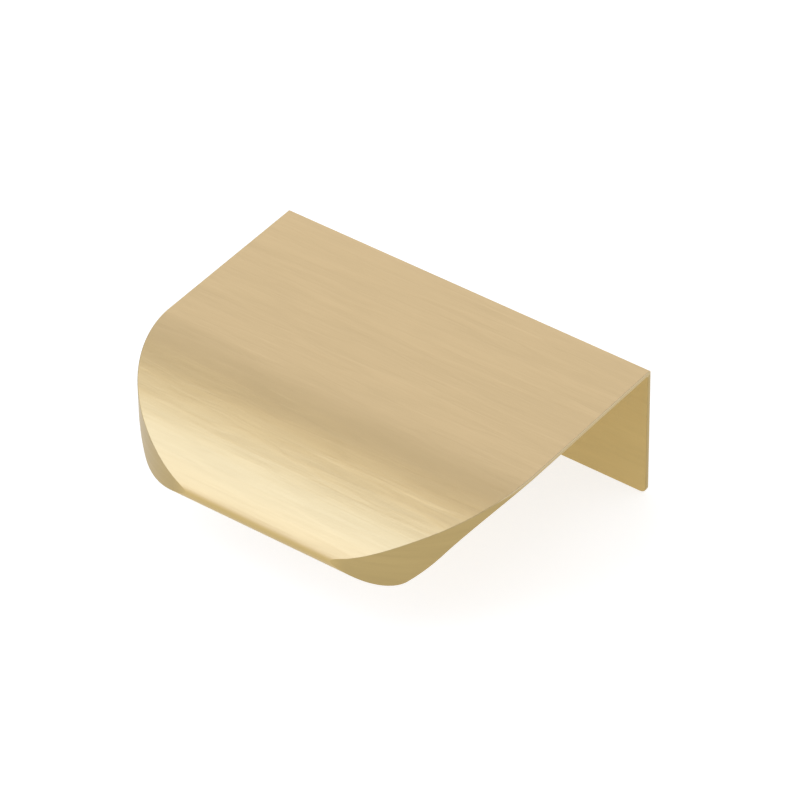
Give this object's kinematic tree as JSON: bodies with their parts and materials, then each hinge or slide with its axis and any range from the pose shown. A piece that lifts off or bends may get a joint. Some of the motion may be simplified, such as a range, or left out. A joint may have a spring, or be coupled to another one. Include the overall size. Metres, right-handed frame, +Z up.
{
  "type": "tab pull",
  "caption": "Tab pull in brushed brass: a thin plate over a drawer front's top edge, with a screwed flange behind and a solid curved lip with rounded corners in front.",
  "frame": {"origin": "middle of the two screw holes, on the flange face that bears on the back of the drawer front", "axes": "+X along the length, -Y forward from the flange to the lip, +Z up"},
  "size_m": [0.05, 0.0391, 0.0174],
  "materials": {
    "brushed_brass": "satin, with a fine brushed grain along its length"
  },
  "bodies": {
    "root": {"tab_pull": "brushed_brass"}
  },
  "joints": []
}
